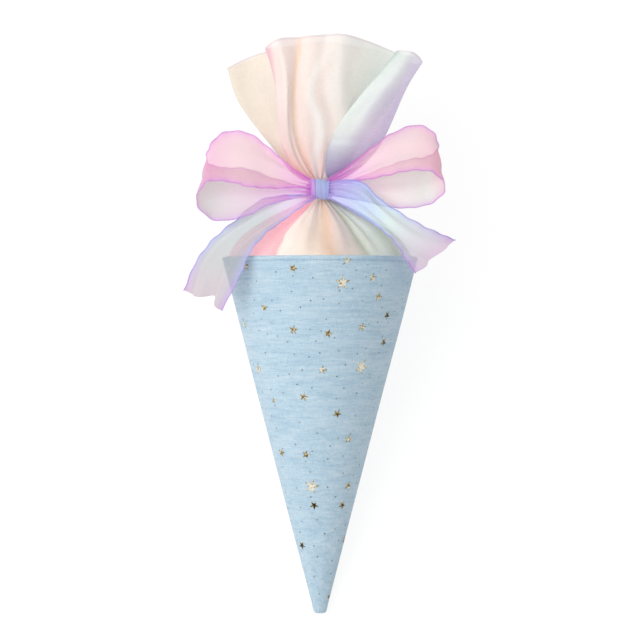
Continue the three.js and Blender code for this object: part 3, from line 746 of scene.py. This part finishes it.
def sheer_finish():
    """Dyed in bands that run up the cloth and bleed into one another, with a fine crinkled weave, and
    with painted shade, painted highlights and a painted glow over the dye.
    """
    # The emission strength set here is for a painted glow, fed further down.
    sheer = Finish("sheer_dyed_cloth", roughness=0.55, sheen_weight=0.3, emission_strength=0.5)
    across, upward = sheer.cut(0), sheer.cut(1)
    bleed = sheer.noise(sheer.place((9, 5, 1)), 1.0, 4.0)
    bend = sheer.made("Math", {"operation": "SINE"}, {0: 11.0 * upward})
    band = across + 0.05 * bleed + 0.010 * bend - 0.025
    fan = sheer.shades(band, FAN_DYES_AND_SHADE)
    skirt = sheer.shades(band, SKIRT_DYES_AND_SHADE)
    low = sheer.passing(upward, 0.36, 0.46)
    body = sheer.blended(low, skirt, fan)

    # Where the folds meet at the neck the colour is deepened, partly dye and partly painted shade: lilac
    # on the right, apricot on the left.
    lilac = sheer.passing(across, 0.41, 0.53)
    lilac_root_shade = sheer.passing(upward, 0.68, 0.46)
    body = sheer.blended(lilac * lilac_root_shade * low * 0.85, body, dye("9384C0"))
    root = sheer.passing(upward, 0.64, 0.45)
    left_side = sheer.passing(across, 0.42, 0.33)
    body = sheer.blended(left_side * root * low * 0.42, body, dye("FFB792"))

    # One soft pleat wanders up the middle of the fan, with a painted highlight on its ridge and painted
    # shade on its lee side; the ridge also raises the bump.
    aside = across + 0.012 * bleed - 0.006 - 0.5 * sheer.shades(upward, PLEAT_COURSE, "B_SPLINE")
    ridge_highlight = sheer.passing(sheer.size_of(aside), 0.0, 0.02, 1.0, 0.0)
    lee_shade = sheer.passing(sheer.size_of(aside - 0.026), 0.0, 0.022, 1.0, 0.0)
    fading = sheer.passing(upward, 0.94, 0.82)
    ridge_highlight, lee_shade = ridge_highlight * low * fading, lee_shade * low * fading
    body = sheer.blended(0.6 * ridge_highlight, body, dye("FFFFFA"))
    body = sheer.blended(0.4 * lee_shade, body, dye("DDBBB4"))

    # Shade lies in the gathers under the knot, and the free edge has a narrow rolled hem.
    under_knot = sheer.passing(upward, 0.22, 0.37)
    right_side = sheer.passing(across, 0.42, 0.48)
    body = sheer.blended(under_knot * right_side * (1 - low) * 0.6, body, dye("707A8C"))
    hem = sheer.passing(upward, 0.988, 0.993)
    body = sheer.blended(0.4 * hem, body, dye("C4A6B8"))

    weave = sheer.noise(sheer.place((900, 420, 1)), 1.0, 2.0)
    crease = sheer.noise(sheer.place((26, 7, 1)), 1.0, 4.0)
    weft = sheer.noise(sheer.place((50, 230, 1)), 1.0)
    body = sheer.blended(0.13 * weave + 0.12 * crease + 0.3 * (weft - 0.3), body, dye("FFFFFF"))
    sheer.feed("Base Color", body)
    # Painted light: the cloth glows in its own colour, most on the skirt's left, faintly over the fan and
    # more on its lilac side away from the neck, standing in for light shining through the thin cloth.
    skirt_glow = sheer.passing(across, 0.17, 0.30, 1.0, 0.22, "LINEAR")
    glow = (1 - low) * skirt_glow + low * (0.15 + 0.15 * lilac * (1 - lilac_root_shade))
    sheer.feed("Emission Color", sheer.blended(glow, dye("000000"), body))
    sheer.feed("Alpha", 0.58 + 0.3 * crease + 0.14 * weave)
    sheer.relief(0.25 * weave + crease + 0.3 * weft + 0.5 * ridge_highlight, 0.0016, 0.55)
    return sheer


finished(cloth, sheer_finish(), "sheer_cloth", "gathered_cloth")


# The ribbon.
# One length of sheer ribbon, dyed from pink through lilac to blue, with both edges wrapped in thread.
# It passes round the neck, crosses under a vertical knot, and is tied in two loops and two tails.
KNOT_WIDTH = 13.2
KNOT_HEIGHT = 17.0
KNOT_DEPTH = 11.0
BAND_RADIUS = NECK_RADIUS + 1.1
BAND_HEIGHT = 9.6
PLEATS, PLEAT_DEPTH, GATHERED_BELOW = 5, 1.5, 26
FRILL_HEIGHT, FRILL_STEPS = 0.55, 13
NOTCH_PLACE, NOTCH_WIDTH, NOTCH_STEPS = 0.66, 0.17, 26
TAIL_STEPS, LOOP_STEPS = 110, 190
KNOT_STEPS, KNOT_ROWS, KNOT_GROOVE_ROW = 72, 41, 10
NECK_STEPS, NECK_TURN_ROWS = 120, 25
LEFT_LOOP = [  # right, forward and up of the back edge, then of the front edge, then ruffle
    (-2, 13, 5.5, -2, 15, 1.2, 0.4), (-22, 12, 17, -20, 20, 1, 1.4), (-40, 11, 32, -37, 27, 0, 1.5),
    (-57, 11, 44, -55, 35, 1, 0.8), (-76, 11, 44, -72, 35, 5, 0.7), (-87, 14, 32, -89, 37, 4, 0.5),
    (-88, 13, 21, -96, 37, -11, 0.5), (-76, 9, 17, -83, 32, -24.5, 0.5), (-58, 9, 16, -59, 30, -22, 0.9),
    (-36, 10, 8, -38, 25, -12, 1.4), (-2, 13, -0.8, -2, 15, -4, 0.4),
]
RIGHT_LOOP = [
    (2, 13, 5.5, 2, 14, 1.2, 0.4), (20, 13.5, 17, 20, 19, 5, 1.0), (38, 14, 31, 38, 26, 8, 1.2),
    (56, 11, 44, 55, 37, 11, 0.8), (76, 11, 50.5, 72, 37, 14, 0.7), (89, 14, 44, 88, 38, 12, 0.5),
    (92, 13, 32, 97, 37, 0, 0.5), (84, 8, 26, 88, 32, -10.5, 0.6), (70, 9, 24, 72, 31, -14.5, 1.0),
    (52, 9, 18, 54, 25, -14, 1.4), (30, 10, 9, 32, 18, -9, 1.2), (2, 12.5, -0.8, 2, 13.5, -4, 0.4),
]
LEFT_TAIL = [
    (-2, 14, -5.2, -2, 17.5, -6.6, 0.2), (-22, 18, -5, -14, 28, -14, 0.9),
    (-45, 15, -9, -29, 34, -26, 1.6), (-66, 19, -25, -43, 51, -37, 1.8),
    (-84, 24, -39, -55, 63, -51, 1.8), (-97, 28, -56, -63, 63, -69, 2.2),
    (-106, 28, -79, -76, 54, -95, 3.2),
]
RIGHT_TAIL = [
    (2, 18, 4, 2, 18, -5, 0.4), (20, 23, 7, 16, 23, -12, 1.1), (34, 30, 4, 29, 34, -20, 1.6),
    (46, 34, -8, 40, 46, -27, 1.8), (62, 38, -20, 50, 60, -36, 1.8), (79, 38, -30, 58, 66, -45, 1.8),
    (94, 33, -36, 66, 64, -57, 2.4), (106, 28, -39.5, 74, 57, -66, 3.4),
]


def ribbon_strip(stations, steps, columns=33, notch=0.0):
    """Places over a strip between its two edges, with soft folds along it and a notch in its end."""
    shares = np.linspace(0, 1, steps)
    line = smooth_line(stations, shares)
    back, front, ruffle = line[:, None, 0:3], line[:, None, 3:6], line[:, None, 6:7]
    across = np.linspace(0, 1, columns)[None, :, None]
    flat = back + (front - back) * across
    along_way = np.gradient(flat, axis=0)
    across_way = np.gradient(flat, axis=1)
    normal = np.cross(across_way, along_way)
    normal /= np.linalg.norm(normal, axis=-1, keepdims=True) + 1e-9
    run = shares[:, None, None]
    width = np.linalg.norm(front - back, axis=-1, keepdims=True)
    gathered = np.clip(1 - width / GATHERED_BELOW, 0, 1)
    folds = ruffle * np.sin(2 * math.pi * (2 * across + 0.12 * np.sin(7 * run)))
    folds = folds + PLEAT_DEPTH * gathered**0.8 * np.sin(2 * math.pi * PLEATS * across)
    hem = np.abs(2 * across - 1) ** 8
    frill = np.sin(2 * math.pi * run * steps / FRILL_STEPS + 2 * across)
    frill = FRILL_HEIGHT * hem * (1 - gathered) * frill
    near_end = np.clip(1 - run * steps / NOTCH_STEPS, 0, 1) ** 2
    bite = notch * np.exp(-(((across - NOTCH_PLACE) / NOTCH_WIDTH) ** 2)) * near_end
    way = along_way / (np.linalg.norm(along_way, axis=-1, keepdims=True) + 1e-9)
    return flat + normal * (folds + frill) + way * bite


strips = [  # each strip, and where it starts and ends along the one ribbon
    (ribbon_strip(LEFT_TAIL[::-1], TAIL_STEPS, notch=7.0), 0.00, 0.20),
    (ribbon_strip(LEFT_LOOP[::-1], LOOP_STEPS), 0.22, 0.48),
    (ribbon_strip(RIGHT_LOOP, LOOP_STEPS), 0.52, 0.78),
    (ribbon_strip(RIGHT_TAIL, TAIL_STEPS), 0.80, 1.00),
]


def knot_wrap():
    """The turn of ribbon over the knot: one groove near its left edge, and drawn in at the ends."""
    turn = np.linspace(0, 2 * math.pi, KNOT_STEPS, endpoint=False)[None, :]
    side = np.linspace(-1, 1, KNOT_ROWS)[:, None]
    fullness = 1 - 0.10 * np.abs(side) ** 3
    groove = 0.8 * np.exp(-(((side + 0.5) / 0.09) ** 2))
    pleat = 0.15 * np.cos(side * 11 + np.sin(turn)) - groove
    forward = (KNOT_DEPTH / 2 + pleat) * fullness * np.cos(turn)
    up = (KNOT_HEIGHT / 2 - 0.5 + pleat) * fullness * np.sin(turn) - 0.8 * side
    right = side * KNOT_WIDTH / 2 * (1 + 0.06 * np.sin(turn)) + np.zeros_like(turn)
    return np.stack([right, forward + NECK_RADIUS + 0.6 + KNOT_DEPTH / 2, up], axis=-1)


def neck_turn():
    """The turn of ribbon round the neck, behind the knot, squeezed into two soft folds."""
    turn = np.linspace(0, 2 * math.pi, NECK_STEPS, endpoint=False)[None, :]
    side = np.linspace(-1, 1, NECK_TURN_ROWS)[:, None]
    reach = BAND_RADIUS + 0.45 * np.cos(side * 9) - 0.5 * side**4 + 0.15 * np.sin(13 * turn + 3 * side)
    up = side * BAND_HEIGHT / 2 + 0.3 * np.sin(2 * turn)
    return np.stack([reach * np.sin(turn), reach * np.cos(turn), up], axis=-1)


def on_bag(places):
    return laid(places[..., 0], places[..., 1], places[..., 2] + KNOT_LEVEL)


RIBBON_DYES = [  # place along the ribbon, from the end of the left tail to that of the right one
    (0.00, "AA8C9C"), (0.04, "989A9F"), (0.11, "A9BFC0"), (0.165, "DDB4E6"), (0.225, "DE74E6"),
    (0.24, "E08CDE"), (0.265, "D8B2CC"), (0.31, "C6C0C0"), (0.35, "EE8CC2"), (0.39, "EEB7C4"),
    (0.43, "F2B3C8"), (0.458, "EC86D4"), (0.475, "E468E0"), (0.525, "E26CDD"), (0.545, "EA80D8"),
    (0.57, "F3B0C8"), (0.61, "F4C3C8"), (0.65, "EF88B0"), (0.69, "DDE0D6"), (0.74, "E9C6CC"),
    (0.775, "D79AE6"), (0.805, "B9A0EE"), (0.835, "A2ACF4"), (0.865, "A4C6F2"), (0.91, "C4E2DC"),
    (0.96, "D6CFE0"), (1.00, "DDA9D8"),
]
EDGE_DYES = [
    (0.00, "C98AE0"), (0.04, "A8A8F0"), (0.09, "9EACF2"), (0.19, "A59BEF"), (0.25, "C68AF0"),
    (0.33, "DD8AE6"), (0.48, "E66FE2"), (0.56, "E37FD8"), (0.68, "D98AE4"), (0.78, "B79BF0"),
    (0.88, "93A8F2"), (1.00, "BF8CE2"),
]


def ribbon_finish():
    """Plain-weave sheer: clear between its threads, deeper in colour towards its edges."""
    sheer = Finish("sheer_ribbon", roughness=0.45, sheen_weight=0.3, emission_strength=0.05)
    across, along = sheer.cut(0), sheer.cut(1)
    bleed = sheer.noise(sheer.place((1.5, 14, 1)), 1.0)
    dyed = along + 0.03 * bleed - 0.015
    from_middle = sheer.size_of(across * 2 - 1)
    edge_share = from_middle**7.0 * 0.8
    body = sheer.blended(edge_share, sheer.shades(dyed, RIBBON_DYES), sheer.shades(dyed, EDGE_DYES))
    threads = sheer.noise(sheer.place((60, 2600, 1)), 1.0, 1.0)
    lengthways = sheer.noise(sheer.place((150, 90, 1)), 1.0, 1.0)
    body = sheer.blended(0.25 * threads, body, dye("FFFFFF"))
    sheer.feed("Base Color", body)
    # Painted light: a faint glow in the ribbon's own colour, standing in for light shining through the
    # sheer cloth.
    sheer.feed("Emission Color", body)
    sheer.feed("Alpha", 0.5 + 0.22 * threads + 0.12 * lengthways + 0.15 * from_middle**4.0)
    sheer.relief(threads + lengthways, 0.0002, 0.4)
    return sheer


ribbon_parts = []
for index, (places, start, end) in enumerate(strips):
    steps, columns = places.shape[:2]

    def strip_cut(a, b):
        return b / (columns - 1), start + (end - start) * a / (steps - 1)

    ribbon_parts.append(woven(f"ribbon_part_{index}", on_bag(places), strip_cut))


def knot_cut(a, b):
    """Where the knot's ribbon comes from along the length: its left pleat is the lilac stretch."""
    along = 0.79 if a < KNOT_GROOVE_ROW else 0.855 + 0.012 * math.sin(b * 2 * math.pi / KNOT_STEPS)
    return 0.1 + 0.8 * a / (KNOT_ROWS - 1), along


def neck_cut(a, b):
    return a / (NECK_TURN_ROWS - 1), 0.5 + 0.02 * math.sin(b * 2 * math.pi / NECK_STEPS)


wrap = knot_wrap()
ribbon_parts.append(woven("knot_part", on_bag(wrap), knot_cut, around=True))
ribbon_parts.append(woven("neck_part", on_bag(neck_turn()), neck_cut, around=True))
joined = bmesh.new()
for part in ribbon_parts:
    joined.from_mesh(part.data)
    bpy.data.objects.remove(part)
ribbon_mesh = bpy.data.meshes.new("sheer_ribbon_bow")
joined.to_mesh(ribbon_mesh)
joined.free()
ribbon = bpy.data.objects.new("sheer_ribbon_bow", ribbon_mesh)
bpy.context.collection.objects.link(ribbon)
finished(ribbon, ribbon_finish(), "ribbon", "ribbon_bow")


# The ribbon's wrapped edges.
# Fine shiny thread is wrapped closely over both edges of the ribbon, so that they are opaque and
# deeper in colour, and frill a little where the machine has stretched them.
EDGE_PITCH = 0.0010
EDGE_STITCH, EDGE_WIDTH, EDGE_HEIGHT, EDGE_SLANT = 0.0008, 0.0013, 0.0010, 0.5
KNOT_EDGES = {0: 0.22, -1: 0.84}  # the knot's two edges, and where their thread's colour comes from
edge_lines, edge_runs = [], []
for places, start, end in strips:
    for column in (0, -1):
        line = on_bag(places[:, column])
        edge_lines.append(line)
        edge_runs.append(np.linspace(start, end, len(line)))
for side, along in KNOT_EDGES.items():
    loop = on_bag(wrap[side])
    edge_lines.append(np.vstack([loop, loop[:1]]))
    edge_runs.append(np.full(len(loop) + 1, along))
wrapped = Finish("wrapped_edge_thread", roughness=0.4, sheen_weight=0.3)
run_along = wrapped.made("Attribute", {"attribute_name": "run"}, outlet=2)
edge_colour = wrapped.shades(run_along, EDGE_DYES)
fibres = wrapped.noise(wrapped.made("TexCoord", outlet=3), 1500.0, 2.0)
wrapped.feed("Base Color", wrapped.blended(0.35 * fibres, edge_colour, dye("F4E4FA")))
edge_thread = threaded(
    "wrapped_ribbon_edges",
    thread_line("ribbon_edges", edge_lines, run=edge_runs),
    wrapped.material,
    EDGE_PITCH,
    EDGE_STITCH,
    EDGE_WIDTH,
    EDGE_HEIGHT,
    EDGE_SLANT,
)
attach(edge_thread, "root")


# The table, the light and the camera.
# The bag lies on a white table under soft studio light, and the camera looks straight down on the
# side that shows the bow.
MM_PER_PIXEL = 0.7865
PICTURE_WIDTH = 640
SENSOR_WIDTH = 36
CAMERA_DISTANCE = 2.6
VIEW_LEVEL = 230.4
TABLE_REACH = 4
TABLE_DROP = -0.0002
TABLE_GLOW = 1.08
TABLE_GLOW_SHARE = 0.8
DAYLIGHT = 0.60
KEY_PLACE = (-1.35, 0.0, 2.2)
KEY_WIDTH = 1.9
KEY_WATTS = 36

floor = bpy.data.objects.new("floor", bpy.data.meshes.new("floor"))
corners = np.array([(-1, -1, 0), (1, -1, 0), (1, 1, 0), (-1, 1, 0)]) * TABLE_REACH
corners = corners + np.array([0, 0, TABLE_DROP])
floor.data.from_pydata(corners.tolist(), [], [(0, 1, 2, 3)])
bpy.context.collection.objects.link(floor)
table = Finish("white_table", roughness=0.9, specular_ior_level=0.1)
table.shader.inputs["Base Color"].default_value = (0.93, 0.93, 0.93, 1)
glow = table.tree.nodes.new("ShaderNodeEmission")
seen = table.made("LightPath", outlet=0)
for ray in (3, 6):  # glossy and transmitted rays, after the camera's own
    seen = table.made("Math", {"operation": "MAXIMUM"}, {0: seen, 1: table.made("LightPath", outlet=ray)})
glow.inputs["Strength"].default_value = TABLE_GLOW
shared = table.tree.nodes.new("ShaderNodeMixShader")
table.tree.links.new((seen * TABLE_GLOW_SHARE).socket, shared.inputs[0])
table.tree.links.new(table.shader.outputs[0], shared.inputs[1])
table.tree.links.new(glow.outputs[0], shared.inputs[2])
table.tree.links.new(shared.outputs[0], table.tree.nodes["Material Output"].inputs["Surface"])
floor.data.materials.append(table.material)

world = bpy.data.worlds.new("studio")
bpy.context.scene.world = world
world.use_nodes = True
sky = world.node_tree.nodes["Background"]
sky.inputs["Color"].default_value = (1, 1, 1, 1)
sky.inputs["Strength"].default_value = DAYLIGHT


def softbox(name, place, aim, size, watts):
    lamp = bpy.data.lights.new(name, "AREA")
    lamp.shape = "RECTANGLE"
    lamp.size, lamp.size_y = size
    lamp.energy = watts
    lamp_object = bpy.data.objects.new(name, lamp)
    lamp_object.location = place
    lamp_object.rotation_euler = (Vector(aim) - Vector(place)).to_track_quat("-Z", "Y").to_euler()
    bpy.context.collection.objects.link(lamp_object)


middle = laid(0, 0, VIEW_LEVEL)
softbox("key_softbox", KEY_PLACE, middle, (KEY_WIDTH, KEY_WIDTH), KEY_WATTS)

camera_data = bpy.data.cameras.new("camera")
camera_data.sensor_width = SENSOR_WIDTH
camera_data.lens = SENSOR_WIDTH * CAMERA_DISTANCE / (PICTURE_WIDTH * MM_PER_PIXEL / 1000)
camera = bpy.data.objects.new("camera", camera_data)
toward_viewer = (laid(0, 1, VIEW_LEVEL) - middle) * 1000
camera.location = middle + toward_viewer * CAMERA_DISTANCE
camera.rotation_euler = (Vector(middle) - camera.location).to_track_quat("-Z", "Y").to_euler()
camera_data.clip_end = 20
bpy.context.collection.objects.link(camera)
bpy.context.scene.camera = camera
bpy.context.scene.view_settings.view_transform = "Standard"
bpy.context.scene.cycles.transparent_max_bounces = 40
